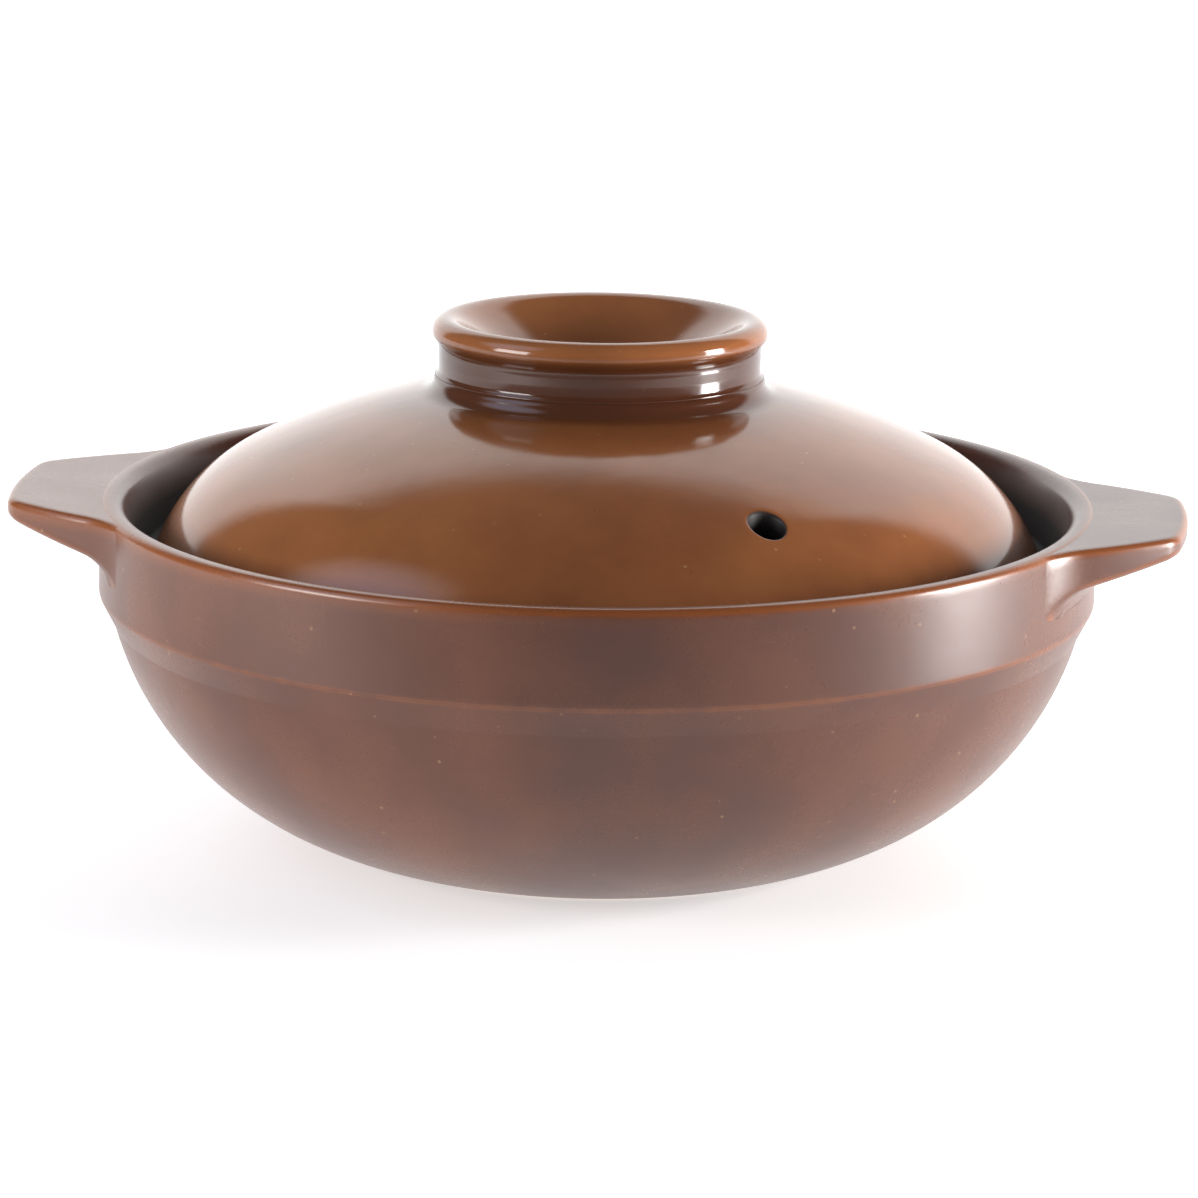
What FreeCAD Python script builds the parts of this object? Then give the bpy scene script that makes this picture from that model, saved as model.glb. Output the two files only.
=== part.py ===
import FreeCAD, Part
import math
import os

# A glazed clay casserole pot: a bowl with two lug handles and a loose domed lid.
# Millimetres and degrees. The origin is the middle of the foot, on the table.
# +Z is up, +X points to the right handle, and the front of the pot faces -Y.
# A section gives each point as its distance from the pot's axis and its height.

os.makedirs("parts", exist_ok=True)

# Bowl, outside
rim_radius = 127.0
rim_height = 87.8
band_height = 23.4
band_swell = 0.6
cove_inset = 3.6
cove_height = 7.2
cove_break_angle = 12.4
foot_slope_angle = 13.4

# Bowl, underside
foot_width = 12.0
foot_hollow_depth = 2.0
foot_hollow_slope = 3.0

# Bowl, inside
bowl_wall = 7.5
floor_thickness = 7.0
rim_thickness = 5.3
gallery_depth = 15.8
gallery_taper = 5.3
ledge_width = 9.4
ledge_nose_thickness = 5.5
ledge_underside_angle = 42.0

# Bowl, softened edges
rim_outer_round = 1.8
rim_inner_round = 3.4
ridge_round = 2.5
cove_round = 3.0
foot_round = 1.0
ledge_corner_round = 1.5
ledge_nose_round = 2.0
ledge_root_round = 6.0
floor_round = 25.0

# Handles
handle_length = 23.1
handle_drop = 0.3
handle_rise = 0.8
handle_tip_half_width = 24.6
handle_root_half_width = 44.0
handle_flank_radius = 120.0
handle_tip_thickness = 5.0
handle_root_thickness = 11.3
handle_corner_round = 9.0
handle_flare_round = 15.0
handle_root_round = 6.0
handle_root_sink = 1.0
handle_edge_round = 1.8
handle_forward_angle = 3.5

# Lid
lid_clearance = 2.3
lid_wall = 6.4
lid_crown_radius = 207.4
lid_shoulder_radius = 45.3
lid_edge_lean = 18.4
lid_edge_round = 1.5
lid_pad_margin = 0.6
lid_pad_round = 4.5

# Steam vent, bored straight down through the lid
vent_diameter = 8.6
vent_inset = 22.7
vent_angle = -59.0
vent_edge_round = 0.8

# Knob
knob_base_radius = 41.4
knob_height = 14.6
knob_flare = 1.4
knob_floor_thickness = 3.0
knob_dish_angle = 34.0
knob_lip_outer_round = 3.6
knob_lip_inner_round = 6.0
knob_dish_round = 10.0
knob_base_round = 0.5

# Worked out from the sizes above
origin = FreeCAD.Vector(0, 0, 0)
upward = FreeCAD.Vector(0, 0, 1)
middle = (0, 0)
ridge_radius = rim_radius + band_swell
ridge_height = rim_height - band_height
body_top = (ridge_radius - cove_inset, ridge_height - cove_height)
body_end_angle = math.degrees(math.atan2(cove_height, cove_inset)) + cove_break_angle
body_chord_angle = (foot_slope_angle + body_end_angle) / 2
body_foot = (body_top[0] - body_top[1] / math.tan(math.radians(body_chord_angle)), 0)
floor_height = foot_hollow_depth + floor_thickness
rim_inner_radius = rim_radius - rim_thickness
ledge_height = rim_height - gallery_depth
ledge_outer_radius = rim_inner_radius - gallery_taper
ledge_inner_radius = ledge_outer_radius - ledge_width
lid_edge_radius = ledge_outer_radius - lid_clearance
handle_reach = rim_radius + handle_length
handle_top = rim_height - handle_drop
handle_sunk_radius = ridge_radius - handle_root_sink


def on_circle(centre, radius, angle):
    """The point of a circle at an angle counted from the outward direction."""
    turn = math.radians(angle)
    return (centre[0] + radius * math.cos(turn), centre[1] + radius * math.sin(turn))


def angle_to(centre, point):
    """The angle at which a point is seen from a centre."""
    return math.degrees(math.atan2(point[1] - centre[1], point[0] - centre[0]))


def leg(hypotenuse, other):
    """The second leg of a right triangle."""
    return math.sqrt(hypotenuse ** 2 - other ** 2)


def arc_centre(start, end, radius):
    """The centre of an arc that bulges to the right of the way from start to end."""
    half_chord = math.dist(start, end) / 2
    half_way = ((start[0] + end[0]) / 2, (start[1] + end[1]) / 2)
    return on_circle(half_way, leg(radius, half_chord), angle_to(start, end) + 90)


def ray_leaves_circle(start, angle, centre, radius):
    """Where a ray that starts inside a circle leaves it."""
    turn = math.radians(angle - angle_to(start, centre))
    gap = math.dist(start, centre)
    reach = gap * math.cos(turn) + leg(radius, gap * math.sin(turn))
    return on_circle(start, reach, angle)


def circles_meet(first, first_radius, second, second_radius):
    """Where two circles cross, to the right of the way from the first to the second."""
    gap = math.dist(first, second)
    run = (first_radius ** 2 - second_radius ** 2 + gap ** 2) / (2 * gap)
    turn = math.degrees(math.acos(run / first_radius))
    return on_circle(first, first_radius, angle_to(first, second) - turn)


def in_section(point):
    """Puts a point of a section into space."""
    return FreeCAD.Vector(point[0], 0, point[1])


def in_plan(point):
    """Puts a point of a view from above into space."""
    return FreeCAD.Vector(point[0], point[1], 0)


def curve(centre, radius, start, end, place=in_section):
    """An arc about a centre, from one angle to another."""
    points = [on_circle(centre, radius, angle) for angle in (start, (start + end) / 2, end)]
    return Part.Arc(*[place(point) for point in points]).toShape()


def polyline(points, place=in_section):
    """Straight edges from each point to the next."""
    corners = [place(point) for point in points]
    return [Part.LineSegment(*ends).toShape() for ends in zip(corners, corners[1:])]


def turned(edges):
    """The solid that a closed section makes when it is turned about the axis."""
    return Part.Face(Part.Wire(edges)).revolve(origin, upward, 360)


def soften(solid, corners):
    """Rounds the turned edges that pass through the given corners of the section."""
    for corner, rounding in corners:
        chosen = []
        for edge in solid.Edges:
            if edge.Degenerated or not isinstance(edge.Curve, Part.Circle):
                continue
            if math.dist(corner, (edge.Curve.Radius, edge.Curve.Center.z)) < 0.01:
                chosen.append(edge)
        solid = solid.makeFillet(rounding, chosen)
    return solid


def make_blank():
    """The outside of the bowl as a full solid: foot, round body, cove, ridge and band."""
    ridge = (ridge_radius, ridge_height)
    rim = (rim_radius, rim_height)
    half_turn = math.radians(body_end_angle - body_chord_angle)
    body_radius = math.dist(body_foot, body_top) / 2 / math.sin(half_turn)
    body = arc_centre(body_foot, body_top, body_radius)
    edges = polyline([middle, body_foot])
    edges.append(curve(body, body_radius, angle_to(body, body_foot), angle_to(body, body_top)))
    edges += polyline([body_top, ridge, rim, (0, rim_height), middle])
    corners = [(rim, rim_outer_round), (ridge, ridge_round)]
    corners += [(body_top, cove_round), (body_foot, foot_round)]
    return soften(turned(edges), corners), body_radius


def make_bowl(blank, body_radius):
    """The bowl: the blank with its inside, the ledge for the lid and the hollow foot."""
    floor_corner = (body_foot[0], floor_height)
    wall_top = (body_top[0] - bowl_wall, body_top[1])
    wall_radius = body_radius - bowl_wall
    wall = arc_centre(floor_corner, wall_top, wall_radius)
    nose_top = (ledge_inner_radius, ledge_height)
    nose_bottom = (ledge_inner_radius, ledge_height - ledge_nose_thickness)
    ledge_root = ray_leaves_circle(nose_bottom, -ledge_underside_angle, wall, wall_radius)
    ledge_corner = (ledge_outer_radius, ledge_height)
    rim_corner = (rim_inner_radius, rim_height)
    edges = polyline([(0, floor_height), floor_corner])
    edges.append(curve(wall, wall_radius, angle_to(wall, floor_corner), angle_to(wall, ledge_root)))
    edges += polyline([ledge_root, nose_bottom, nose_top, ledge_corner, rim_corner])
    edges += polyline([rim_corner, (0, rim_height), (0, floor_height)])
    foot_inner = (body_foot[0] - foot_width, 0)
    hollow_corner = (foot_inner[0] - foot_hollow_slope, foot_hollow_depth)
    hollow = polyline([middle, foot_inner, hollow_corner, (0, foot_hollow_depth), middle])
    bowl = blank.cut(turned(edges)).cut(turned(hollow))
    corners = [(rim_corner, rim_inner_round), (ledge_corner, ledge_corner_round)]
    corners += [(nose_top, ledge_nose_round), (nose_bottom, ledge_nose_round)]
    corners += [(ledge_root, ledge_root_round), (floor_corner, floor_round)]
    corners.append((foot_inner, foot_round))
    return soften(bowl, corners)


def handle_section():
    """A handle cut along its middle: a wedge that is rounded into the bowl underneath."""
    tip_top = (handle_reach, handle_top + handle_rise)
    tip_bottom = (handle_reach, tip_top[1] - handle_tip_thickness)
    root_bottom = (rim_radius, handle_top - handle_root_thickness)
    slope = math.radians(angle_to(root_bottom, tip_bottom))
    under = 90 + math.degrees(slope)
    root_run = handle_reach - handle_sunk_radius - handle_root_round
    root_drop = root_run * math.tan(slope) + handle_root_round / math.cos(slope)
    root = (handle_reach - root_run, tip_bottom[1] - root_drop)
    root_start = on_circle(root, handle_root_round, under)
    root_end = (handle_sunk_radius, root[1])
    inside_top = (ledge_outer_radius, handle_top)
    edges = polyline([inside_top, (handle_sunk_radius, handle_top), tip_top, tip_bottom, root_start])
    edges.append(curve(root, handle_root_round, under, 180))
    edges += polyline([root_end, (ledge_outer_radius, root[1]), inside_top])
    return edges


def handle_side():
    """One side of a handle from above: tip, corner, flank and the flare into the bowl."""
    tip_angle = math.degrees(math.asin(handle_tip_half_width / handle_reach))
    root_angle = math.degrees(math.asin(handle_root_half_width / ridge_radius))
    tip = on_circle(middle, handle_reach, tip_angle)
    root = on_circle(middle, ridge_radius, root_angle)
    flank = arc_centre(tip, root, handle_flank_radius)
    corner_reach = handle_reach - handle_corner_round
    corner = circles_meet(flank, handle_flank_radius - handle_corner_round, middle, corner_reach)
    flare_reach = handle_sunk_radius + handle_flare_round
    flare = circles_meet(flank, handle_flank_radius + handle_flare_round, middle, flare_reach)
    corner_start = angle_to(middle, corner)
    corner_end = angle_to(flank, corner)
    flare_start = angle_to(flank, flare)
    flare_end = angle_to(middle, flare)
    edges = [curve(middle, handle_reach, 0, corner_start, in_plan)]
    edges.append(curve(corner, handle_corner_round, corner_start, corner_end, in_plan))
    edges.append(curve(flank, handle_flank_radius, corner_end, flare_start, in_plan))
    edges.append(curve(flare, handle_flare_round, flare_start + 180, flare_end + 180, in_plan))
    flare_foot = on_circle(middle, handle_sunk_radius, flare_end)
    inside = on_circle(middle, ledge_outer_radius, flare_end)
    edges += polyline([flare_foot, inside, (inside[0], 0)], in_plan)
    return edges


def make_handle(blank, direction):
    """A lug handle with softened edges, cut to the bowl's side and turned to its place."""
    side = handle_side()
    other_side = [edge.mirror(origin, FreeCAD.Vector(0, 1, 0)) for edge in side]
    outline = Part.Wire(Part.__sortEdges__(side + other_side))
    prism = Part.Face(outline).extrude(upward * (handle_top + handle_rise))
    # The seam of the turned ring is kept away from the handle.
    ring = turned(handle_section())
    ring.rotate(origin, upward, 180)
    handle = prism.common(ring)
    sharp = []
    for edge in handle.Edges:
        half_way = edge.valueAt((edge.FirstParameter + edge.LastParameter) / 2)
        upright = abs(edge.tangentAt(edge.FirstParameter).z) > 0.99
        under_outline = Part.Vertex(half_way.x, half_way.y, 0)
        on_outline = outline.distToShape(under_outline)[0] < 0.01
        if on_outline and not upright and math.hypot(half_way.x, half_way.y) > handle_sunk_radius:
            sharp.append(edge)
    handle = handle.makeFillet(handle_edge_round, sharp).cut(blank)
    handle.rotate(origin, upward, direction)
    return handle


def make_dome():
    """The lid's dome: crown and shoulder, the flat seat and the raised pad for the knob."""
    seat_outer = (lid_edge_radius, ledge_height)
    shoulder = on_circle(seat_outer, lid_shoulder_radius, lid_edge_lean + 180)
    crown_drop = leg(lid_crown_radius - lid_shoulder_radius, shoulder[0])
    crown = (0, shoulder[1] - crown_drop)
    join = angle_to(crown, shoulder)
    pad_radius = knob_base_radius + lid_pad_margin
    pad_round_radius = pad_radius + lid_pad_round
    pad_height = crown[1] + leg(lid_crown_radius + lid_pad_round, pad_round_radius)
    pad_round = (pad_round_radius, pad_height)
    pad_join = angle_to(crown, pad_round)
    inner_shoulder = lid_shoulder_radius - lid_wall
    inner_crown = lid_crown_radius - lid_wall
    seat_inner = (shoulder[0] + leg(inner_shoulder, ledge_height - shoulder[1]), ledge_height)
    edges = polyline([(0, pad_height), (pad_radius, pad_height)])
    edges.append(curve(pad_round, lid_pad_round, 180, pad_join + 180))
    edges.append(curve(crown, lid_crown_radius, pad_join, join))
    edges.append(curve(shoulder, lid_shoulder_radius, join, lid_edge_lean))
    edges += polyline([seat_outer, seat_inner])
    edges.append(curve(shoulder, inner_shoulder, angle_to(shoulder, seat_inner), join))
    edges.append(curve(crown, inner_crown, join, 90))
    edges += polyline([(0, crown[1] + inner_crown), (0, pad_height)])
    dome = soften(turned(edges), [(seat_outer, lid_edge_round), (seat_inner, lid_edge_round)])
    vent = on_circle(middle, lid_edge_radius - vent_inset, vent_angle)
    vent_start = FreeCAD.Vector(vent[0], vent[1], ledge_height)
    bore = Part.makeCylinder(vent_diameter / 2, pad_height - ledge_height, vent_start)
    dome = dome.cut(bore)
    vent_edges = []
    for edge in dome.Edges:
        half_way = edge.CenterOfMass
        at_vent = math.dist((half_way.x, half_way.y), vent) < vent_diameter
        if at_vent and not isinstance(edge.Curve, Part.Line):
            vent_edges.append(edge)
    return dome.makeFillet(vent_edge_round, vent_edges), pad_height


def make_knob(base_height):
    """The knob: a low drum that widens to a rounded lip round a dish with sloping sides."""
    top = base_height + knob_height
    base = (knob_base_radius, base_height)
    crest_radius = knob_base_radius + knob_flare - knob_lip_outer_round
    outer_lip = (crest_radius, top - knob_lip_outer_round)
    side = math.degrees(math.acos(knob_lip_outer_round / math.dist(base, outer_lip)))
    side_end = angle_to(outer_lip, base) + side
    inner_lip = (crest_radius, top - knob_lip_inner_round)
    dish_edge = on_circle(inner_lip, knob_lip_inner_round, 90 + knob_dish_angle)
    dish_height = base_height + knob_floor_thickness
    dish_run = (dish_edge[1] - dish_height) / math.tan(math.radians(knob_dish_angle))
    dish_corner = (dish_edge[0] - dish_run, dish_height)
    edges = polyline([(0, base_height), base, on_circle(outer_lip, knob_lip_outer_round, side_end)])
    edges.append(curve(outer_lip, knob_lip_outer_round, side_end, 90))
    edges.append(curve(inner_lip, knob_lip_inner_round, 90, 90 + knob_dish_angle))
    edges += polyline([dish_edge, dish_corner, (0, dish_height), (0, base_height)])
    return soften(turned(edges), [(base, knob_base_round), (dish_corner, knob_dish_round)])


blank, body_radius = make_blank()
dome, pad_height = make_dome()
pieces = {
    "pot_bowl": make_bowl(blank, body_radius),
    "left_handle": make_handle(blank, 180 + handle_forward_angle),
    "right_handle": make_handle(blank, -handle_forward_angle),
    "lid_dome": dome,
    "lid_knob": make_knob(pad_height),
}
for name, shape in pieces.items():
    shape.exportStep("parts/" + name + ".step")
    print(name, "valid:", shape.isValid(), "solids:", len(shape.Solids), "mm3:", round(shape.Volume))
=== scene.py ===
"""Glaze, fine form, light and camera for the lidded clay casserole pot."""

import math

import bmesh
import bpy
from mathutils import Matrix, Vector


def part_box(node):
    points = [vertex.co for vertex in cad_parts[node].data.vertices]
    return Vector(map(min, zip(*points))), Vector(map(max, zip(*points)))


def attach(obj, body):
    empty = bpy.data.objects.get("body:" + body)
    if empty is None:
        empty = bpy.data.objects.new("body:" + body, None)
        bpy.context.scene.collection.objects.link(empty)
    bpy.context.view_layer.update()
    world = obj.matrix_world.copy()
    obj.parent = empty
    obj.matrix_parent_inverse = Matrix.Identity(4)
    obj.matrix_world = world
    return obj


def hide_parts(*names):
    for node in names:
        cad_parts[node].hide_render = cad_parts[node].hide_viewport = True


bl_info = {
    "name": "Clay casserole pot",
    "version": (1, 0, 0),
    "blender": (4, 5, 0),
    "location": "3D View > Sidebar > Clay pot",
    "description": "Throws, glazes and lights a lidded clay casserole pot",
    "category": "Object",
}

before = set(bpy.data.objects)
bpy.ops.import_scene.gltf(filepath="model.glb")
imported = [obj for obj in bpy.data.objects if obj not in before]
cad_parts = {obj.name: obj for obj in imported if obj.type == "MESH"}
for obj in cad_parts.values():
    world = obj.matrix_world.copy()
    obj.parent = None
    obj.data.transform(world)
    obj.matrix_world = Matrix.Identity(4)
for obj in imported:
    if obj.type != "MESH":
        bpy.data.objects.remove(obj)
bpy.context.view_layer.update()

MM = 0.001
POT = "pot"
LID = "lid"
THIN = "thin_glaze"
# Marks a dark inside glaze together with painted shade that deepens under the bowl's rim.
INSIDE_SHADE = "dark_glaze_and_shade_inside"
TURN_STEPS = 256
ARC_STEP = 1.6 * MM
LONGEST_EDGE = 2.4 * MM
CORNER_STEPS = 7
WELD = 0.0005 * MM
HIDDEN_SHARE = 0.4
TIP_STEPS = 8
FLARE_STEPS = 12
TIP_CUTS = 15
BACK_CUTS = 23
SIDE_CUTS = 11
BOX_DISTANCE = 0.9
FLOOR_REACH = 12

# How many waves or cells a pattern of the glaze has in a metre.
BROAD_SCALE = 11.0
WAVE_SCALE = 55.0
WEAR_SCALE = 120.0
PIT_SCALE = 130.0
DOT_SCALE = 200.0
RING_SCALE = 240.0
PEEL_SCALE = 260.0
GRAIN_SCALE = 500.0


def length(name, description, millimetres):
    """A size of the pot that shows in the sidebar."""
    return bpy.props.FloatProperty(
        name=name, description=description, default=millimetres * MM, unit="LENGTH", precision=5
    )


def colour(name, description, default):
    """A colour that shows in the sidebar."""
    return bpy.props.FloatVectorProperty(
        name=name, description=description, default=default, subtype="COLOR", size=3, min=0, max=1
    )


def share(name, description, default, most=1.0):
    """A plain number from nought that shows in the sidebar."""
    return bpy.props.FloatProperty(name=name, description=description, default=default, min=0, max=most)


class BowlSizes(bpy.types.PropertyGroup):
    """The thrown bowl."""

    rim_radius: length("Rim radius", "Outer radius of the rim", 127.0)
    rim_inner_radius: length("Mouth radius", "Inner radius of the rim", 121.7)
    ridge_radius: length("Ridge radius", "Radius of the ridge under the band", 127.6)
    ridge_height: length("Ridge height", "Height of the ridge above the table", 64.4)
    cove_radius: length("Cove radius", "Radius where the body turns into the cove", 124.0)
    cove_height: length("Cove height", "Height where the body turns into the cove", 57.2)
    body_curve: length("Body curve", "Radius of the round body in section", 78.6)
    foot_radius: length("Foot radius", "Outer radius of the foot", 66.0)
    foot_width: length("Foot width", "Width of the ring that stands on the table", 12.0)
    foot_hollow: length("Foot hollow", "Depth of the hollow under the foot", 2.0)
    floor_height: length("Floor height", "Height of the floor inside", 9.0)
    wall: length("Wall", "Thickness of the body's wall", 7.5)
    ledge_height: length("Ledge height", "Height of the ledge that carries the lid", 72.0)
    ledge_outer_radius: length("Ledge outer radius", "Outer radius of the ledge", 116.4)
    ledge_inner_radius: length("Ledge inner radius", "Inner radius of the ledge", 107.0)
    ledge_nose: length("Ledge nose", "Thickness of the ledge at its inner edge", 5.5)
    ledge_root_radius: length("Ledge root radius", "Radius where the ledge grows out of the wall", 116.68)
    ledge_root_height: length("Ledge root height", "Height where the ledge grows out of the wall", 57.79)
    foot_slant: length("Foot slant", "Width of the slope inside the foot's ring", 3.0)
    foot_round: length("Foot round", "Rounding of the foot's edges", 1.0)
    hollow_round: length("Hollow round", "Rounding of the hollow under the foot", 1.5)
    cove_round: length("Cove round", "Rounding where the body turns into the cove", 3.0)
    ridge_round: length("Ridge round", "Rounding of the ridge", 2.5)
    rim_outer_round: length("Rim outer round", "Rounding of the rim outside", 1.8)
    rim_inner_round: length("Rim inner round", "Rounding of the rim inside", 3.4)
    gallery_round: length("Gallery round", "Rounding in the corner behind the ledge", 1.5)
    ledge_round: length("Ledge round", "Rounding of the ledge's inner edges", 2.0)
    ledge_root_round: length("Ledge root round", "Rounding under the ledge at the wall", 6.0)
    floor_round: length("Floor round", "Rounding between the floor and the wall inside", 25.0)


class HandleSizes(bpy.types.PropertyGroup):
    """The two lug handles. Widths run round the pot at the middle of a handle."""

    reach: length("Reach", "Distance of a handle's tip from the axis", 150.1)
    middle_radius: length("Middle radius", "Distance of a handle's middle from the axis", 138.0)
    tip_half_width: length("Tip half width", "Half of the width at the tip", 22.7)
    root_half_width: length("Root half width", "Half of the width at the root", 49.7)
    tip_thickness: length("Tip thickness", "Thickness at the tip", 5.0)
    under_rise: share("Under rise", "How fast the underside rises towards the tip", 0.305)
    corner_round: length("Corner round", "Rounding of the tip's corners", 9.0)
    flare_round: length("Flare round", "Rounding where a handle flows into the bowl", 24.0)
    root_round: length("Root round", "Rounding under a handle at the bowl", 8.0)
    edge_round: length("Edge round", "Rounding of a handle's edges", 1.8)
    plate: length("Plate", "Thickness of the plate that a handle is shaped from", 4.4)
    wing: length("Wing", "Width beside the root that stays hidden in the bowl", 16.0)
    sunk: length("Sunk", "Depth of the root under the rim's side", 0.2)
    buried: length("Buried", "Depth of the hidden part before it is drawn together", 8.0)
    top_gap: length("Top gap", "Height of the rim above a handle's root", 0.3)
    forward_angle: bpy.props.FloatProperty(
        name="Forward angle", description="How far both handles sit towards the front",
        default=math.radians(3.5), subtype="ANGLE",
    )


class LidSizes(bpy.types.PropertyGroup):
    """The lid: dome, vent and knob."""

    edge_radius: length("Edge radius", "Radius of the lid's edge", 114.1)
    wall: length("Wall", "Thickness of the lid", 6.4)
    crown_curve: length("Crown curve", "Radius of the crown in section", 207.4)
    shoulder_curve: length("Shoulder curve", "Radius of the shoulder in section", 45.3)
    edge_lean: bpy.props.FloatProperty(
        name="Edge lean", description="Lean of the lid's side at its edge",
        default=math.radians(18.4), subtype="ANGLE",
    )
    seat_round: length("Seat round", "Rounding of the lid's seat ring", 1.5)
    pad_radius: length("Pad radius", "Radius of the pad under the knob", 42.0)
    pad_round: length("Pad round", "Rounding between the pad and the crown", 4.5)
    vent_radius: length("Vent radius", "Radius of the steam vent", 4.3)
    vent_place: length("Vent place", "Distance of the vent from the axis", 91.4)
    vent_angle: bpy.props.FloatProperty(
        name="Vent angle", description="Direction of the vent, seen from above",
        default=math.radians(-59.0), subtype="ANGLE",
    )
    knob_radius: length("Knob radius", "Radius of the knob at its lip", 42.8)
    knob_waist: length("Knob waist", "Radius of the knob under its lip", 41.0)
    knob_floor: length("Knob floor", "Thickness of the knob under its dish", 3.0)
    lip_round: length("Lip round", "Rounding of the knob's lip outside", 3.6)
    dish_lip_round: length("Dish lip round", "Rounding of the knob's lip towards the dish", 6.0)
    dish_floor_round: length("Dish floor round", "Rounding between the dish's side and floor", 10.0)
    dish_slope: bpy.props.FloatProperty(
        name="Dish slope", description="Slope of the dish's side", default=math.radians(34), subtype="ANGLE"
    )


class GlazeLook(bpy.types.PropertyGroup):
    """Colours of the fired glazes and the bare clay."""

    bowl_brown: colour("Bowl brown", "The warmer colour of the bowl's glaze", (0.175, 0.050, 0.016))
    bowl_mauve: colour("Bowl mauve", "The cooler colour of the bowl's glaze", (0.088, 0.025, 0.012))
    bowl_rust: colour("Bowl rust", "The bowl's glaze where it runs thin", (0.300, 0.085, 0.020))
    lid_amber: colour("Lid amber", "The lighter colour of the lid's glaze", (0.380, 0.136, 0.046))
    lid_chestnut: colour("Lid chestnut", "The darker colour of the lid's glaze", (0.245, 0.082, 0.029))
    lid_rust: colour("Lid rust", "The lid's glaze where it runs thin", (0.310, 0.100, 0.028))
    # Lid pooled is partly real glaze pooling at the knob's foot, partly painted shade on the knob's neck
    # and a painted reflection of the knob on the dome.
    lid_pooled_and_shade: colour("Lid pooled", "The lid's glaze where it pools at the knob", (0.040, 0.010, 0.005))
    speck: colour("Speck", "Pale specks in the glaze", (0.480, 0.260, 0.130))
    # Pit also paints shade: the near-black inside of the vent's bore and of the bowl.
    pit_and_shade: colour("Pit", "Dark pinholes and the inside of the vent", (0.012, 0.006, 0.004))
    clay: colour("Clay", "Bare fired clay under the foot", (0.480, 0.330, 0.210))
    bowl_roughness: share("Bowl roughness", "How matt the bowl's glaze is", 0.28)
    bowl_clouds: share("Bowl clouds", "How many clouds of colour the bowl has in a metre", 38.0, 500)
    bowl_gloss: share("Bowl gloss", "Index of refraction of the bowl's glaze", 1.6, 3)
    bowl_wear: share("Bowl wear", "How much the bowl's glaze thins on edges", 0.65)
    lid_roughness: share("Lid roughness", "How matt the lid's glaze is", 0.12)
    lid_clouds: share("Lid clouds", "How many clouds of colour the lid has in a metre", 55.0, 500)
    lid_gloss: share("Lid gloss", "Index of refraction of the lid's glaze", 1.52, 3)
    lid_wear: share("Lid wear", "How much the lid's glaze thins on edges", 0.25)


class StageLook(bpy.types.PropertyGroup):
    """Floor, light and camera."""

    floor: colour("Floor", "Colour of the floor", (0.80, 0.80, 0.80))
    near_glow: share("Near glow", "How much the floor shines round the pot", 0.52, 20)
    far_glow: share("Far glow", "How much the floor shines far away", 1.10, 20)
    front_glow: share("Front glow", "How much the floor shines in front of the view", 0.02, 20)
    back_light: share("Back light", "Brightness of the backdrop", 1.70, 20)
    room_light: share("Room light", "Brightness of the rest of the room", 0.10, 20)
    right_light: share("Right light", "Brightness of the soft box on the right", 47.0, 500)
    left_light: share("Left light", "Brightness of the soft box on the left", 12.0, 500)
    window_light: share("Window light", "Brightness of the high window on the left", 2.2, 20)
    window_tint: colour("Window tint", "Colour of the high window", (0.60, 0.72, 1.0))
    distance: length("Distance", "Distance of the camera from the pot's middle", 1000.0)
    look_height: length("Look height", "Height of the point that the camera looks at", 59.5)
    lens: share("Lens", "Focal length for a sensor 36 mm wide", 116.17, 500)


def on_circle(centre, radius, angle):
    """The point of a circle at an angle counted from the outward direction."""
    return (centre[0] + radius * math.cos(angle), centre[1] + radius * math.sin(angle))


def angle_to(centre, point):
    """The angle at which a point is seen from a centre."""
    return math.atan2(point[1] - centre[1], point[0] - centre[0])


def leg(hypotenuse, other):
    """The second leg of a right triangle."""
    return math.sqrt(hypotenuse**2 - other**2)


def arc_centre(start, end, radius):
    """The centre of an arc that bulges to the right of the way from start to end."""
    half_way = ((start[0] + end[0]) / 2, (start[1] + end[1]) / 2)
    reach = leg(radius, math.dist(start, end) / 2)
    return on_circle(half_way, reach, angle_to(start, end) + math.pi / 2)


def round_corner(mesh, vert, rounding, steps):
    """Rounds a corner of a drawn line to a radius."""
    first, second = [edge.other_vert(vert).co - vert.co for edge in vert.link_edges]
    turn = math.pi - first.angle(second)
    bmesh.ops.bevel(
        mesh, geom=[vert], offset=rounding * math.tan(turn / 2), offset_type="OFFSET",
        segments=steps, profile=0.5, affect="VERTICES", material=-1, clamp_overlap=True,
    )


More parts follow.
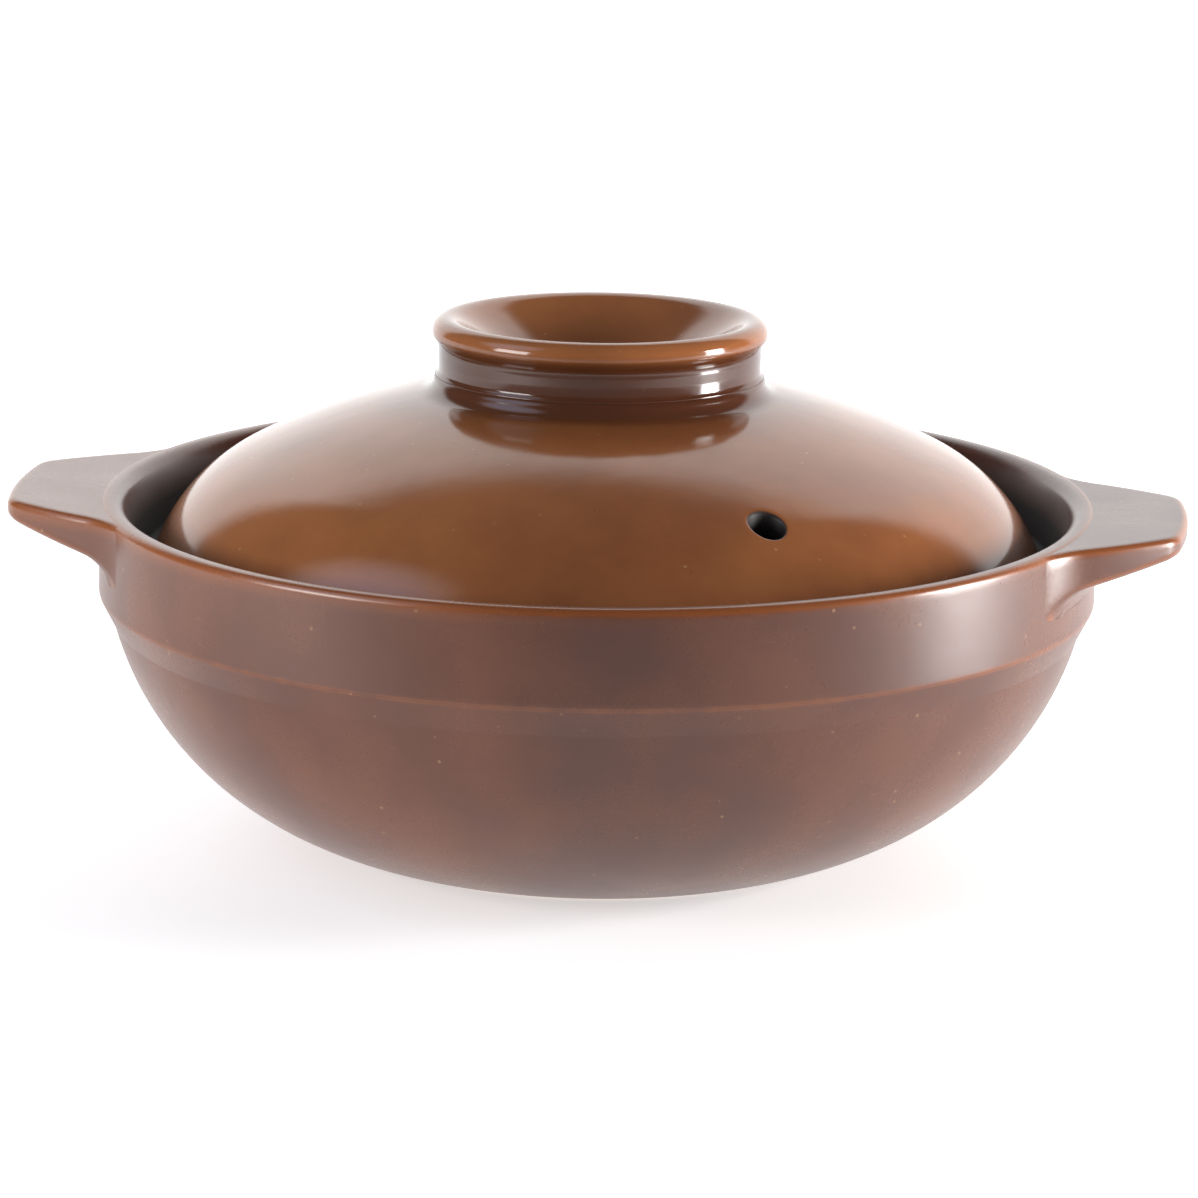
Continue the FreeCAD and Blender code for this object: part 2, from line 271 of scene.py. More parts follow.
class Section:
    """A section drawn from point to point beside the pot's axis and then turned about it."""

    def __init__(self, start):
        self.mesh = bmesh.new()
        self.tip = self.mesh.verts.new((start[0], 0, start[1]))
        self.corners = []

    def line(self, point, rounding=0.0):
        """Draws a straight edge to a point, whose corner may be rounded later."""
        self.tip = bmesh.ops.extrude_vert_indiv(self.mesh, verts=[self.tip])["verts"][0]
        self.tip.co = (point[0], 0, point[1])
        if rounding:
            self.corners.append((self.tip, rounding))

    def arc(self, centre, angle):
        """Draws an arc about a centre, counter-clockwise where the angle is positive."""
        radius = math.dist(centre, (self.tip.co.x, self.tip.co.z))
        made = bmesh.ops.spin(
            self.mesh, geom=[self.tip], cent=(centre[0], 0, centre[1]), axis=(0, -1, 0),
            angle=angle, steps=max(2, round(abs(angle) * radius / ARC_STEP)), use_merge=False,
        )
        self.tip = made["geom_last"][0]

    def arc_to(self, point, centre, short=0.0):
        """Draws an arc about a centre towards a point and stops a little short of it."""
        radius = math.dist(centre, point)
        turn = angle_to(centre, point) - angle_to(centre, (self.tip.co.x, self.tip.co.z))
        self.arc(centre, turn - math.copysign(short / radius, turn))

    def turned(self):
        """Rounds the corners, turns the section about the axis and returns the closed mesh."""
        for vert, rounding in self.corners:
            round_corner(self.mesh, vert, rounding, CORNER_STEPS)
        long_edges = [edge for edge in self.mesh.edges if edge.calc_length() > LONGEST_EDGE]
        while long_edges:
            bmesh.ops.subdivide_edges(self.mesh, edges=long_edges, cuts=1)
            long_edges = [edge for edge in self.mesh.edges if edge.calc_length() > LONGEST_EDGE]
        bmesh.ops.spin(
            self.mesh, geom=self.mesh.verts[:] + self.mesh.edges[:], cent=(0, 0, 0), axis=(0, 0, 1),
            angle=math.tau, steps=TURN_STEPS, use_merge=True,
        )
        bmesh.ops.remove_doubles(self.mesh, verts=self.mesh.verts[:], dist=WELD)
        return self.mesh


def mark_bends(mesh):
    """Stores on each point how sharply the surface bends out, in turns of a millimetre radius."""
    mesh.normal_update()
    thin = mesh.verts.layers.float.new(THIN)
    for vert in mesh.verts:
        bends = []
        for edge in vert.link_edges:
            away = vert.co - edge.other_vert(vert).co
            bends.append(2 * vert.normal.dot(away) / away.length_squared)
        vert[thin] = min(1, max(0, max(bends) * MM))
    for _ in range(2):
        spread = []
        for vert in mesh.verts:
            near = [edge.other_vert(vert)[thin] for edge in vert.link_edges]
            spread.append((vert[thin] + sum(near)) / (1 + len(near)))
        for vert, value in zip(mesh.verts, spread):
            vert[thin] = value


def place_piece(mesh, name, node, body, glaze):
    """Makes an object of a mesh. It takes the place of a CAD node and moves with its body."""
    bmesh.ops.recalc_face_normals(mesh, faces=mesh.faces[:])
    mark_bends(mesh)
    for face in mesh.faces:
        face.smooth = True
    data = bpy.data.meshes.new(name)
    mesh.to_mesh(data)
    mesh.free()
    piece = bpy.data.objects.new(name, data)
    bpy.context.scene.collection.objects.link(piece)
    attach(piece, body)
    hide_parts(node)
    data.materials.append(glaze)


class Wire:
    """An output of a finish's nodes that can stand in a formula."""

    def __init__(self, finish, socket):
        self.finish = finish
        self.socket = socket

    def combine(self, operation, first, second):
        return self.finish.add("ShaderNodeMath", {"operation": operation}, {0: first, 1: second})

    def __add__(self, other):
        return self.combine("ADD", self, other)

    def __sub__(self, other):
        return self.combine("SUBTRACT", self, other)

    def __mul__(self, other):
        return self.combine("MULTIPLY", self, other)

    def __rsub__(self, other):
        return self.combine("SUBTRACT", other, self)

    def clipped(self, low, high):
        """Runs from 0 at the low value to 1 at the high one, with soft ends."""
        settings = {"interpolation_type": "SMOOTHSTEP"}
        inputs = {"Value": self, "From Min": low, "From Max": high}
        return self.finish.add("ShaderNodeMapRange", settings, inputs)


class Finish:
    """A material or world whose nodes are added one by one."""

    def __init__(self, owner):
        owner.use_nodes = True
        self.tree = owner.node_tree
        self.tree.nodes.clear()

    def add(self, kind, settings=None, inputs=None, output=0):
        """Adds a node with its settings and the values or links of its sockets."""
        node = self.tree.nodes.new(kind)
        for key, value in (settings or {}).items():
            setattr(node, key, value)
        for key, value in (inputs or {}).items():
            if isinstance(value, Wire):
                self.tree.links.new(value.socket, node.inputs[key])
            else:
                node.inputs[key].default_value = value
        return Wire(self, node.outputs[output]) if node.outputs else None

    def blend(self, amount, first, second):
        """Mixes two colours."""
        colours = [c if isinstance(c, Wire) else (*c, 1) for c in (first, second)]
        return self.add(
            "ShaderNodeMix", {"data_type": "RGBA"}, {0: amount, 6: colours[0], 7: colours[1]}, 2
        )

    def noise(self, place, scale, detail, roughness=0.5):
        """Soft noise whose scale counts its waves in a metre."""
        inputs = {"Vector": place, "Scale": scale, "Detail": detail, "Roughness": roughness}
        return self.add("ShaderNodeTexNoise", None, inputs)

    def attribute(self, name):
        """A number stored on a piece's points."""
        return self.add("ShaderNodeAttribute", {"attribute_name": name}, None, "Fac")

    def specks(self, place, scale, size):
        """Round dots scattered over a piece, about one in four cells of the scale."""
        cells = {"Vector": place, "Scale": scale}
        distance = self.add("ShaderNodeTexVoronoi", None, cells, "Distance")
        chance = self.add("ShaderNodeTexVoronoi", None, cells, "Color")
        chosen = self.add("ShaderNodeSeparateColor", None, {0: chance}, 0).clipped(0.70, 0.80)
        return (1 - distance.clipped(size * 0.4, size)) * chosen


def past_circle(squared, near, far):
    """Runs from 0 inside a near circle to 1 outside a far one, from a distance squared."""
    return squared.clipped(near**2, far**2)


def glazed(name, colours, roughness, clouds, gloss, wear, bore=None):
    """A fired glaze with faint clouds, rings and specks. It is thin on edges and bare below.

    The lid's glaze also pools at the knob, with painted shade on the knob's neck and a painted reflection
    of the knob on the dome round it. The vent's bore is painted near black as shade, and the bowl's inside
    has a dark glaze with painted shade under the rim.
    """
    look = bpy.context.scene.clay_glaze
    finish = Finish(bpy.data.materials.new(name))
    place = finish.add("ShaderNodeTexCoord", None, None, "Object")
    axes = [finish.add("ShaderNodeSeparateXYZ", None, {0: place}, axis) for axis in range(3)]
    across, back, height = axes
    broad = (finish.noise(place, BROAD_SCALE, 2.0) + across * 2.5 + 0.10).clipped(0.34, 0.66)
    cloud = finish.noise(place, clouds, 2.5, 0.45).clipped(0.25, 0.75)
    grain = finish.noise(place, GRAIN_SCALE, 1.0)
    body = finish.blend(broad * 0.55 + cloud * 0.45, colours[0], colours[1])
    patches = finish.noise(place, WEAR_SCALE, 3.0, 0.6) * 0.3
    worn = (finish.attribute(THIN) + patches - 0.15).clipped(0.18, 0.55)
    body = finish.blend(worn * wear, body, colours[2])
    dots = finish.specks(place, DOT_SCALE, 0.12)
    body = finish.blend(dots * 0.5, body, tuple(look.speck))
    pits = finish.specks(place, PIT_SCALE, 0.05)
    body = finish.blend(pits * 0.5, body, tuple(look.pit_and_shade))
    body = finish.blend((grain - 0.35) * 0.1, body, tuple(look.pit_and_shade))
    bare = 1 - height.clipped(0.2 * MM, 0.7 * MM)
    body = finish.blend(bare, body, tuple(look.clay))
    if bore:
        # Painted shade: the vent's bore turns near black, as shade in the hole.
        side = across - bore[0]
        depth = back - bore[1]
        inside = 1 - past_circle(side * side + depth * depth, bore[2] * 1.04, bore[2] * 1.18)
        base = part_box("lid_knob")[0].z
        spread = across * across + back * back
        # Partly real glaze pooling at the knob's foot, partly painted shade on the knob's neck and a
        # painted reflection of the knob on the dome round it.
        reflection_and_pool_ring = 1 - past_circle(spread, 43 * MM, 62 * MM)
        neck = 1 - past_circle(spread, 43 * MM, 48 * MM)
        pooled_and_shade = past_circle(spread, 39 * MM, 40.5 * MM) * (reflection_and_pool_ring * 0.35 + neck * 0.5)
        pooled_and_shade = pooled_and_shade * (1 - height.clipped(base + 8 * MM, base + 12 * MM))
        body = finish.blend(pooled_and_shade, body, tuple(look.lid_pooled_and_shade))
    else:
        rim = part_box("pot_bowl")[1].z
        # Inside the bowl: a dark inside glaze with painted shade that deepens under the rim.
        inside = finish.attribute(INSIDE_SHADE)
        lip = height.clipped(rim - 5 * MM, rim - 1 * MM) * (1 - broad * 0.8)
        body = finish.blend(lip * 0.6, body, colours[2])
    # Painted shade: the inside of the bowl and the vent's bore take the near-black pit colour.
    body = finish.blend(inside, body, tuple(look.pit_and_shade))
    bare = bare + inside
    matt = (cloud - 0.5) * 0.04 + (grain - 0.5) * 0.04 + roughness + bare * 0.5
    ring = finish.noise(finish.add("ShaderNodeCombineXYZ", None, {2: height}), RING_SCALE, 2.0)
    waves = finish.noise(place, WAVE_SCALE, 2.0)
    peel = finish.noise(place, PEEL_SCALE, 2.0)
    bumps = waves * 1.1 + ring * 0.12 + peel * 0.08 + dots * 0.04 - pits * 0.1
    relief = finish.add("ShaderNodeBump", None, {"Distance": 0.1 * MM, "Height": bumps}, "Normal")
    inputs = {"Base Color": body, "Roughness": matt, "Normal": relief, "IOR": gloss}
    shader = finish.add("ShaderNodeBsdfPrincipled", None, inputs, "BSDF")
    finish.add("ShaderNodeOutputMaterial", None, {"Surface": shader})


def bowl_glaze():
    """The bowl's satin glaze, made once and shared by the bowl and its handles."""
    name = "satin_brown_glaze"
    if name not in bpy.data.materials:
        look = bpy.context.scene.clay_glaze
        colours = [tuple(look.bowl_brown), tuple(look.bowl_mauve), tuple(look.bowl_rust)]
        glazed(name, colours, look.bowl_roughness, look.bowl_clouds, look.bowl_gloss, look.bowl_wear)
    return bpy.data.materials[name]


def lid_glaze():
    """The lid's bright glaze, made once and shared by the dome and the knob."""
    name = "bright_amber_glaze"
    if name not in bpy.data.materials:
        look = bpy.context.scene.clay_glaze
        lid = bpy.context.scene.clay_lid
        colours = [tuple(look.lid_amber), tuple(look.lid_chestnut), tuple(look.lid_rust)]
        vent = on_circle((0, 0), lid.vent_place, lid.vent_angle)
        bore = (*vent, lid.vent_radius)
        glazed(name, colours, look.lid_roughness, look.lid_clouds, look.lid_gloss, look.lid_wear, bore)
    return bpy.data.materials[name]


class CLAY_OT_bowl(bpy.types.Operator):
    """Throw the bowl with its foot, ridge, rim and ledge"""

    bl_idname = "clay.bowl"
    bl_label = "Throw bowl"

    def execute(self, context):
        sizes = context.scene.clay_bowl
        rim_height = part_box("pot_bowl")[1].z
        short = 0.6 * MM
        under_ledge = 4.0 * MM
        over_floor = 5.0 * MM
        foot = (sizes.foot_radius, 0)
        cove = (sizes.cove_radius, sizes.cove_height)
        body = arc_centre(foot, cove, sizes.body_curve)
        floor_edge = (sizes.foot_radius, sizes.floor_height)
        wall_top = (sizes.cove_radius - sizes.wall, sizes.cove_height)
        wall_curve = sizes.body_curve - sizes.wall
        hollow = arc_centre(floor_edge, wall_top, wall_curve)
        nose = (sizes.ledge_inner_radius, sizes.ledge_height - sizes.ledge_nose)
        ledge_root = (sizes.ledge_root_radius, sizes.ledge_root_height)
        foot_inner = sizes.foot_radius - sizes.foot_width
        section = Section((0, sizes.foot_hollow))
        section.line((foot_inner - sizes.foot_slant, sizes.foot_hollow), sizes.hollow_round)
        section.line((foot_inner, 0), sizes.foot_round)
        section.line(foot, sizes.foot_round)
        start = angle_to(body, foot) + short / sizes.body_curve
        section.line(on_circle(body, sizes.body_curve, start))
        section.arc_to(cove, body, short)
        section.line(cove, sizes.cove_round)
        section.line((sizes.ridge_radius, sizes.ridge_height), sizes.ridge_round)
        section.line((sizes.rim_radius, rim_height), sizes.rim_outer_round)
        section.line((sizes.rim_inner_radius, rim_height), sizes.rim_inner_round)
        section.line((sizes.ledge_outer_radius, sizes.ledge_height), sizes.gallery_round)
        section.line((sizes.ledge_inner_radius, sizes.ledge_height), sizes.ledge_round)
        section.line(nose, sizes.ledge_round)
        section.line(ledge_root, sizes.ledge_root_round)
        end = angle_to(hollow, ledge_root) - under_ledge / wall_curve
        section.line(on_circle(hollow, wall_curve, end))
        section.arc_to(floor_edge, hollow, over_floor)
        section.line(floor_edge, sizes.floor_round)
        section.line((0, sizes.floor_height))
        mesh = section.turned()
        self.mark_inside(mesh, sizes, body, rim_height)
        place_piece(mesh, "glazed_bowl", "pot_bowl", POT, bowl_glaze())
        return {"FINISHED"}

    def mark_inside(self, mesh, sizes, body, rim_height):
        """Stores on each point inside the bowl how far it lies under the rim, up to 1. The glaze makes this
        a dark inside glaze with painted shade that deepens under the rim.
        """
        layer = mesh.verts.layers.float.new(INSIDE_SHADE)
        mouth = sizes.rim_inner_radius + 1 * MM
        skin = sizes.body_curve - 3 * MM
        lip = 2 * MM
        fade = 8 * MM
        for vert in mesh.verts:
            radius, height = vert.co.to_2d().length, vert.co.z
            if height > sizes.cove_height:
                inside = radius < mouth
            else:
                inside = math.dist((radius, height), body) < skin and height > sizes.floor_height / 2
            if inside:
                vert[layer] = min(1, max(0, (rim_height - lip - height) / fade))


class CLAY_OT_handles(bpy.types.Operator):
    """Shape the two lug handles and set them on the bowl"""

    bl_idname = "clay.handles"
    bl_label = "Shape handles"

    def execute(self, context):
        angle = context.scene.clay_handles.forward_angle
        self.handle("glazed_right_handle", "right_handle", -angle)
        self.handle("glazed_left_handle", "left_handle", math.pi + angle)
        return {"FINISHED"}

    def outline(self, sizes, sunk, inner):
        """The handle from above with the pot unrolled: X is the distance from the axis."""
        mesh = bmesh.new()
        far = sizes.root_half_width + sizes.wing
        halves = []
        for side in (-1, 1):
            points = [(sizes.reach, sizes.tip_half_width), (sunk, sizes.root_half_width)]
            points += [(sunk, far), (inner, far)]
            half = [mesh.verts.new((x, side * y, 0)) for x, y in points]
            for start, end in zip(half, half[1:]):
                mesh.edges.new((start, end))
            halves.append(half)
        mesh.edges.new((halves[0][0], halves[1][0]))
        mesh.edges.new((halves[0][-1], halves[1][-1]))
        for half in halves:
            round_corner(mesh, half[0], sizes.corner_round, TIP_STEPS)
            round_corner(mesh, half[1], sizes.flare_round, FLARE_STEPS)
        for depth, cuts in ((sizes.reach, TIP_CUTS), (inner, BACK_CUTS)):
            row = [edge for edge in mesh.edges if all(abs(v.co.x - depth) < WELD for v in edge.verts)]
            bmesh.ops.subdivide_edges(mesh, edges=row, cuts=cuts)
        side = [edge for edge in mesh.edges if edge.calc_length() > 10 * MM]
        bmesh.ops.subdivide_edges(mesh, edges=side, cuts=SIDE_CUTS)
        return mesh

    def handle(self, name, node, direction):
        """Makes one handle, unrolled at first, and wraps it round the bowl."""
        sizes = bpy.context.scene.clay_handles
        bowl = bpy.context.scene.clay_bowl
        rim_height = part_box("pot_bowl")[1].z
        top_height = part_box("right_handle")[1].z
        sunk = bowl.rim_radius - sizes.sunk
        lean = (bowl.ridge_radius - bowl.rim_radius) / (rim_height - bowl.ridge_height)
        root_top = rim_height - sizes.top_gap
        mesh = self.outline(sizes, sunk, sunk - sizes.buried)
        face = bmesh.ops.contextual_create(mesh, geom=mesh.edges[:])["faces"]
        raised = bmesh.ops.extrude_face_region(mesh, geom=face)
        moved = [item for item in raised["geom"] if isinstance(item, bmesh.types.BMVert)]
        bmesh.ops.translate(mesh, verts=moved, vec=(0, 0, sizes.plate))
        flat_edges = [e for e in mesh.edges if abs(e.verts[0].co.z - e.verts[1].co.z) < WELD]
        bmesh.ops.bevel(
            mesh, geom=flat_edges, offset=sizes.edge_round, offset_type="OFFSET", segments=5,
            profile=0.5, affect="EDGES", material=-1, clamp_overlap=False,
        )
        large = [f for f in mesh.faces if len(f.verts) > 4]
        loops = [list(f.edges) for f in large]
        bmesh.ops.delete(mesh, geom=large, context="FACES_ONLY")
        for loop in loops:
            middles = {e: sum(v.co.x for v in e.verts) / 2 for e in loop}
            reach = max(v.co.x for e in loop for v in e.verts)
            depth = min(v.co.x for e in loop for v in e.verts)
            tip_row = [e for e in loop if middles[e] > reach - 0.45 * MM]
            back_row = [e for e in loop if middles[e] < depth + 0.01 * MM]
            bmesh.ops.grid_fill(mesh, edges=tip_row + back_row, use_interp_simple=True)
        upright = [e for e in mesh.edges if (e.verts[0].co - e.verts[1].co).to_2d().length < WELD]
        bmesh.ops.subdivide_edges(mesh, edges=upright, cuts=4, use_grid_fill=True)
        under_tip = top_height - sizes.tip_thickness
        centre_x = bowl.rim_radius + sizes.root_round
        slope = math.atan(sizes.under_rise)
        centre_z = under_tip - (sizes.reach - centre_x) * sizes.under_rise
        centre_z -= sizes.root_round / math.cos(slope)
        tangent_x = centre_x - sizes.root_round * math.sin(slope)
        for vert in mesh.verts:
            radius, along, level = vert.co
            radius = max(radius, sunk + (radius - sunk) * HIDDEN_SHARE)
            out = (radius - bowl.rim_radius) / (sizes.reach - bowl.rim_radius)
            top = root_top + (top_height - root_top) * max(0, out)
            if radius > tangent_x:
                under = under_tip - (sizes.reach - radius) * sizes.under_rise
            elif radius > bowl.rim_radius:
                under = centre_z + leg(sizes.root_round, centre_x - radius)
            else:
                under = centre_z
            if level > sizes.plate - sizes.edge_round:
                height = top - (sizes.plate - level)
            elif level < sizes.edge_round:
                height = under + level
            else:
                inner_share = (level - sizes.edge_round) / (sizes.plate - 2 * sizes.edge_round)
                height = under + sizes.edge_round + inner_share * (top - under - 2 * sizes.edge_round)
            radius += lean * (rim_height - height) * max(0, 1 - out)
            angle = along / sizes.middle_radius
            vert.co = (radius * math.cos(angle), radius * math.sin(angle), height)
        turn = Matrix.Rotation(direction, 3, "Z")
        bmesh.ops.rotate(mesh, verts=mesh.verts[:], cent=(0, 0, 0), matrix=turn)
        place_piece(mesh, name, node, POT, bowl_glaze())


class CLAY_OT_dome(bpy.types.Operator):
    """Throw the lid's dome and bore its steam vent"""

    bl_idname = "clay.dome"
    bl_label = "Throw dome"

    def execute(self, context):
        sizes = context.scene.clay_lid
        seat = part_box("lid_dome")[0].z
        edge = (sizes.edge_radius, seat)
        shoulder = on_circle(edge, sizes.shoulder_curve, sizes.edge_lean + math.pi)
        crown = (0, shoulder[1] - leg(sizes.crown_curve - sizes.shoulder_curve, shoulder[0]))
        join = angle_to(crown, shoulder)
        round_radius = sizes.pad_radius + sizes.pad_round
        pad_height = crown[1] + leg(sizes.crown_curve + sizes.pad_round, round_radius)
        pad_round = (round_radius, pad_height)
        pad_join = angle_to(crown, pad_round)
        inner_shoulder = sizes.shoulder_curve - sizes.wall
        inner_crown = sizes.crown_curve - sizes.wall
        seat_inner = (shoulder[0] + leg(inner_shoulder, seat - shoulder[1]), seat)
        section = Section((0, pad_height))
        section.line((sizes.pad_radius, pad_height))
        section.arc(pad_round, pad_join)
        section.arc_to(on_circle(crown, sizes.crown_curve, join), crown)
        section.arc_to(edge, shoulder, 1.2 * MM)
        section.line(edge, sizes.seat_round)
        section.line(seat_inner, sizes.seat_round)
        start = angle_to(shoulder, seat_inner) + 1.6 * MM / inner_shoulder
        section.line(on_circle(shoulder, inner_shoulder, start))
        section.arc_to(on_circle(shoulder, inner_shoulder, join), shoulder)
        section.arc_to((0, crown[1] + inner_crown), crown)
        mesh = section.turned()

        def outer(radius):
            """The height of the lid's outer skin."""
            if radius < shoulder[0] + sizes.shoulder_curve * math.cos(join):
                return crown[1] + leg(sizes.crown_curve, radius)
            return shoulder[1] + leg(sizes.shoulder_curve, radius - shoulder[0])

        def inner(radius):
            """The height of the lid's inner skin."""
            if radius < shoulder[0] + inner_shoulder * math.cos(join):
                return crown[1] + leg(inner_crown, radius)
            return shoulder[1] + leg(inner_shoulder, radius - shoulder[0])

        self.bore(mesh, sizes, outer, inner)
        turn = Matrix.Rotation(sizes.vent_angle, 3, "Z")
        bmesh.ops.rotate(mesh, verts=mesh.verts[:], cent=(0, 0, 0), matrix=turn)
        place_piece(mesh, "glazed_dome", "lid_dome", LID, lid_glaze())
        return {"FINISHED"}

    def bore(self, mesh, sizes, outer, inner):
        """Opens a patch of the shell and closes it again round a bore with soft lips."""
        place = Vector((sizes.vent_place, 0))
        reach = 8.6 * MM
        patch_radius = 7.0 * MM
        lip_radius = 6.0 * MM
        soft = 0.8 * MM
        lip_steps = 5
        patch = []
        for face in mesh.faces:
            gap = face.calc_center_median().to_2d() - place
            if max(abs(gap.x), abs(gap.y)) < reach:
                patch.append(face)
        bmesh.ops.delete(mesh, geom=patch, context="FACES")
        middle = (outer(place.x) + inner(place.x)) / 2
        open_edges = [edge for edge in mesh.edges if edge.is_boundary]
        tilt = (outer(place.x + reach) - outer(place.x - reach)) / (2 * reach)

        def above(edge):
            centre = (edge.verts[0].co + edge.verts[1].co) / 2
            return centre.z > middle + tilt * (centre.x - place.x)

        upper = [edge for edge in open_edges if above(edge)]
        lower = [edge for edge in open_edges if not above(edge)]
        made = bmesh.ops.create_circle(
            mesh, cap_ends=False, radius=patch_radius, segments=len(upper),
            matrix=Matrix.Translation((place.x, 0, 0)),
        )
        verts = made["verts"]
        ring = list({edge for vert in verts for edge in vert.link_edges})
        bore = sizes.vent_radius
        steps = [(patch_radius, outer, 0), (lip_radius, outer, 0)]
        quarter = [math.pi / 2 * i / lip_steps for i in range(lip_steps + 1)]
        steps += [(bore + soft * (1 - math.sin(q)), outer, soft * (math.cos(q) - 1)) for q in quarter]
        steps += [(bore + soft * (1 - math.cos(q)), inner, soft * (1 - math.sin(q))) for q in quarter]
        steps += [(lip_radius, inner, 0), (patch_radius, inner, 0)]
        for number, (radius, surface, offset) in enumerate(steps):
            if number:
                made = bmesh.ops.extrude_edge_only(mesh, edges=ring)["geom"]
                verts = [item for item in made if isinstance(item, bmesh.types.BMVert)]
                ring = [item for item in made if isinstance(item, bmesh.types.BMEdge)]
                ring = [edge for edge in ring if edge.verts[0] in verts and edge.verts[1] in verts]
            for vert in verts:
                direction = (vert.co.to_2d() - place).normalized()
                spot = place + direction * radius
                vert.co = (spot.x, spot.y, surface(spot.length) + offset)
            if number == 0:
                bmesh.ops.bridge_loops(mesh, edges=upper + ring)
        bmesh.ops.bridge_loops(mesh, edges=lower + ring)


class CLAY_OT_knob(bpy.types.Operator):
    """Throw the ring knob with its dished top"""

    bl_idname = "clay.knob"
    bl_label = "Throw knob"

    def execute(self, context):
        sizes = context.scene.clay_lid
        base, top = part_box("lid_knob")[0].z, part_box("lid_knob")[1].z
        outer_lip = (sizes.knob_radius - sizes.lip_round, top - sizes.lip_round)
        inner_lip = (outer_lip[0], top - sizes.dish_lip_round)
        floor_height = base + sizes.knob_floor
        dish_edge = on_circle(inner_lip, sizes.dish_lip_round, math.pi / 2 + sizes.dish_slope)
        run = (dish_edge[1] - floor_height) / math.tan(sizes.dish_slope)
        lip_start = math.radians(-18)
        # Each turning ring of the neck is given by its reach, height and rounding in millimetres.
        rings = [(0.15, 0.8, 1.5), (0.08, 3.6, 6.0), (0.16, 5.8, 6.0), (0.05, 8.3, 4.0)]
        section = Section((0, base))
        section.line((sizes.pad_radius - 0.02 * MM, base))
        for reach, height, rounding in rings:
            section.line((sizes.knob_waist + reach * MM, base + height * MM), rounding * MM)
        section.line(on_circle(outer_lip, sizes.lip_round, lip_start), 1.5 * MM)
        section.arc(outer_lip, math.pi / 2 - lip_start)
        section.arc(inner_lip, sizes.dish_slope)
        section.line((dish_edge[0] - run, floor_height), sizes.dish_floor_round)
        section.line((0, floor_height))
        place_piece(section.turned(), "glazed_knob", "lid_knob", LID, lid_glaze())
        return {"FINISHED"}


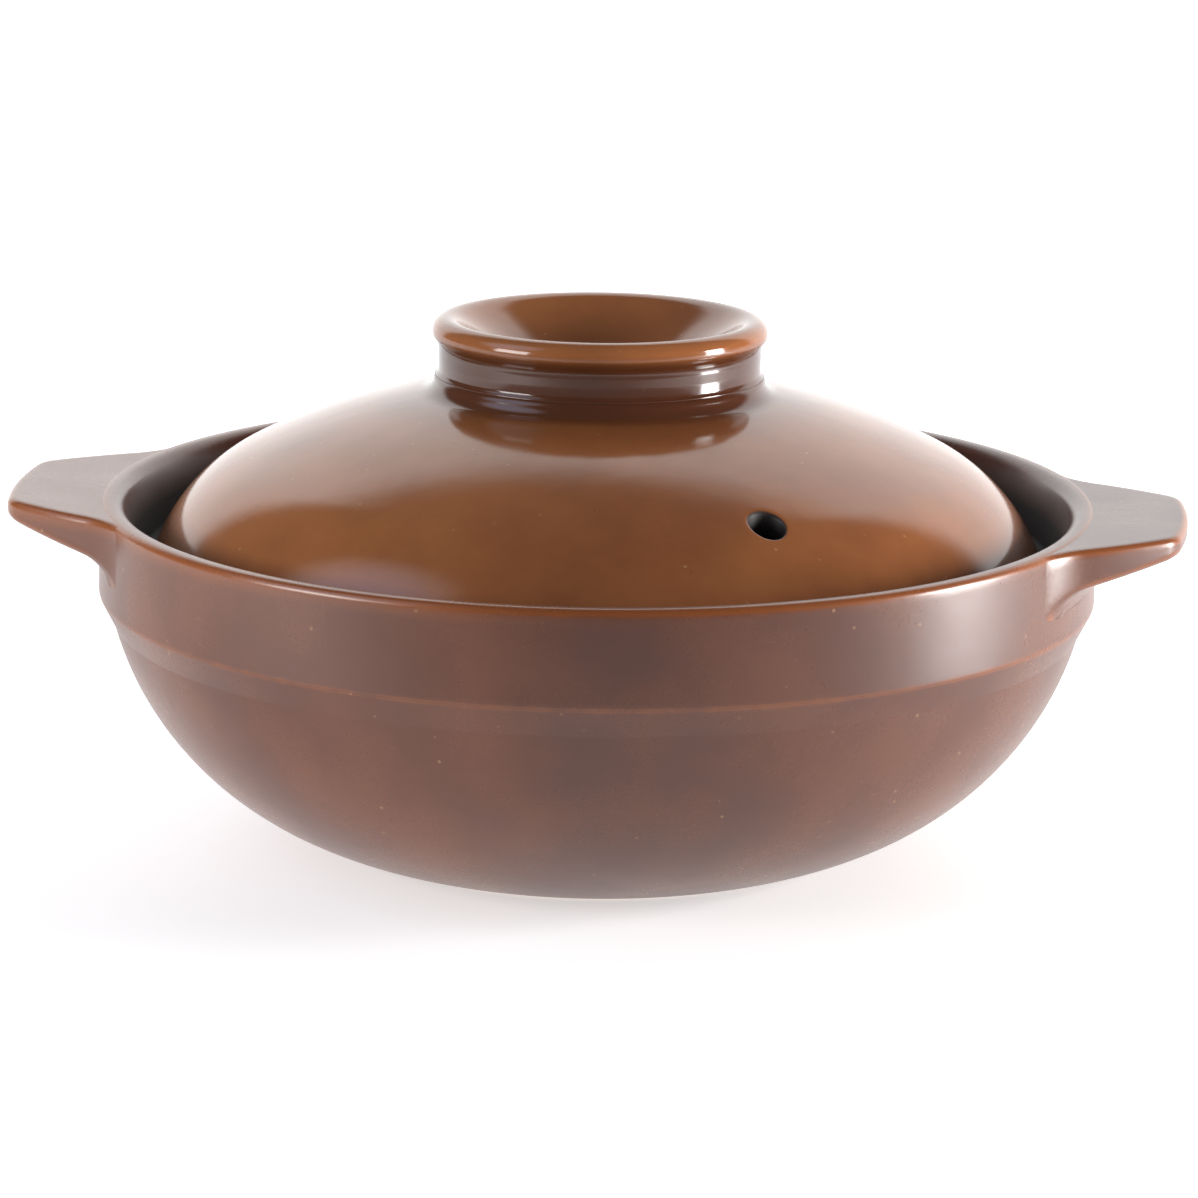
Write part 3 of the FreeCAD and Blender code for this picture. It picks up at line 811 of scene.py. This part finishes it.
class CLAY_OT_stage(bpy.types.Operator):
    """Lay the floor, light the pot softly and set up the camera"""

    bl_idname = "clay.stage"
    bl_label = "Set stage"

    def execute(self, context):
        look = context.scene.clay_stage
        self.floor(look)
        self.room(context, look)
        # A soft box is given by its light, direction, width and height, and its lower edge's height.
        self.soft_box("right_soft_box", look.right_light, math.radians(-2), (0.22, 0.38), 0)
        self.soft_box("left_soft_box", look.left_light, math.radians(-146), (0.40, 0.30), 0.16)
        self.camera(context, look)
        return {"FINISHED"}

    def floor(self, look):
        """A pale floor that glows more away from the pot and hardly at all in front of the view."""
        mesh = bmesh.new()
        bmesh.ops.create_grid(mesh, x_segments=1, y_segments=1, size=FLOOR_REACH)
        data = bpy.data.meshes.new("floor")
        mesh.to_mesh(data)
        mesh.free()
        floor = bpy.data.objects.new("floor", data)
        floor.location.z = -0.05 * MM
        bpy.context.scene.collection.objects.link(floor)
        finish = Finish(bpy.data.materials.new("pale_floor"))
        place = finish.add("ShaderNodeTexCoord", None, None, "Object")
        away = finish.add("ShaderNodeVectorMath", {"operation": "LENGTH"}, {0: place}, "Value")
        far = away.clipped(0.25, 0.9)
        glow = finish.blend(far, [look.near_glow] * 3, [look.far_glow] * 3)
        lit = finish.add("ShaderNodeSeparateXYZ", None, {0: place}, 1).clipped(-0.50, -0.39)
        glow = finish.blend(lit, [look.front_glow] * 3, glow)
        inputs = {"Base Color": (*look.floor, 1), "Roughness": 0.6}
        inputs |= {"Emission Color": glow, "Emission Strength": 1.0}
        shader = finish.add("ShaderNodeBsdfPrincipled", None, inputs, "BSDF")
        finish.add("ShaderNodeOutputMaterial", None, {"Surface": shader})
        data.materials.append(bpy.data.materials["pale_floor"])

    def room(self, context, look):
        """A dim room with a round bright backdrop behind the pot and a high window on the left."""
        world = bpy.data.worlds.new("studio")
        context.scene.world = world
        finish = Finish(world)
        way = finish.add("ShaderNodeTexCoord", None, None, "Generated")
        backdrop = finish.add("ShaderNodeSeparateXYZ", None, {0: way}, 1).clipped(0.56, 0.69)
        aim = Vector((-0.719, -0.262, 0.643))
        toward = finish.add("ShaderNodeVectorMath", {"operation": "DOT_PRODUCT"}, {0: way, 1: aim}, "Value")
        window = toward.clipped(0.91, 0.998)
        strength = backdrop * (look.back_light - look.room_light)
        strength = strength + window * look.window_light + look.room_light
        tint = finish.blend(window, (1, 1, 1), tuple(look.window_tint))
        shader = finish.add("ShaderNodeBackground", None, {"Color": tint, "Strength": strength})
        finish.add("ShaderNodeOutputWorld", None, {"Surface": shader})

    def soft_box(self, name, brightness, direction, size, raised):
        """An upright soft box that faces the pot."""
        light = bpy.data.lights.new(name, "AREA")
        light.shape = "RECTANGLE"
        light.size, light.size_y = size
        light.energy = brightness * math.pi * size[0] * size[1]
        lamp = bpy.data.objects.new(name, light)
        lamp.location = (*on_circle((0, 0), BOX_DISTANCE, direction), raised + size[1] / 2)
        aim = Vector((-lamp.location.x, -lamp.location.y, 0))
        lamp.rotation_euler = aim.to_track_quat("-Z", "Y").to_euler()
        bpy.context.scene.collection.objects.link(lamp)

    def camera(self, context, look):
        """The camera, above the pot's front and a little to the right of it."""
        rise, side, roll = math.radians(13.69), math.radians(5.1), math.radians(0.77)
        away = Vector((math.cos(rise) * math.sin(side), -math.cos(rise) * math.cos(side), math.sin(rise)))
        data = bpy.data.cameras.new("camera")
        data.lens = look.lens
        data.sensor_width = 36
        data.shift_x = 0.00209
        data.clip_end = 50
        camera = bpy.data.objects.new("camera", data)
        turn = (-away).to_track_quat("-Z", "Y").to_matrix().to_4x4() @ Matrix.Rotation(roll, 4, "Z")
        place = Vector((0, 0, look.look_height)) + away * look.distance
        camera.matrix_world = Matrix.Translation(place) @ turn
        context.scene.collection.objects.link(camera)
        context.scene.camera = camera
        context.scene.view_settings.view_transform = "Standard"


class CLAY_PT_panel(bpy.types.Panel):
    """Lists the pieces of the pot and their sizes and colours"""

    bl_idname = "CLAY_PT_panel"
    bl_label = "Clay pot"
    bl_space_type = "VIEW_3D"
    bl_region_type = "UI"
    bl_category = "Clay pot"

    def draw(self, context):
        for operator in OPERATORS:
            self.layout.operator(operator.bl_idname)
        for name, group in GROUPS.items():
            box = self.layout.box()
            box.label(text=group.__doc__)
            for key in group.__annotations__:
                box.prop(getattr(context.scene, name), key)


GROUPS = {
    "clay_bowl": BowlSizes,
    "clay_handles": HandleSizes,
    "clay_lid": LidSizes,
    "clay_glaze": GlazeLook,
    "clay_stage": StageLook,
}
OPERATORS = [CLAY_OT_bowl, CLAY_OT_handles, CLAY_OT_dome, CLAY_OT_knob, CLAY_OT_stage]


def register():
    for name, group in GROUPS.items():
        bpy.utils.register_class(group)
        setattr(bpy.types.Scene, name, bpy.props.PointerProperty(type=group))
    for kind in OPERATORS + [CLAY_PT_panel]:
        bpy.utils.register_class(kind)


def unregister():
    for kind in reversed(OPERATORS + [CLAY_PT_panel]):
        bpy.utils.unregister_class(kind)
    for name, group in reversed(GROUPS.items()):
        delattr(bpy.types.Scene, name)
        bpy.utils.unregister_class(group)


def main():
    register()
    bpy.ops.clay.bowl()
    bpy.ops.clay.handles()
    bpy.ops.clay.dome()
    bpy.ops.clay.knob()
    bpy.ops.clay.stage()


if __name__ == "__main__":
    main()
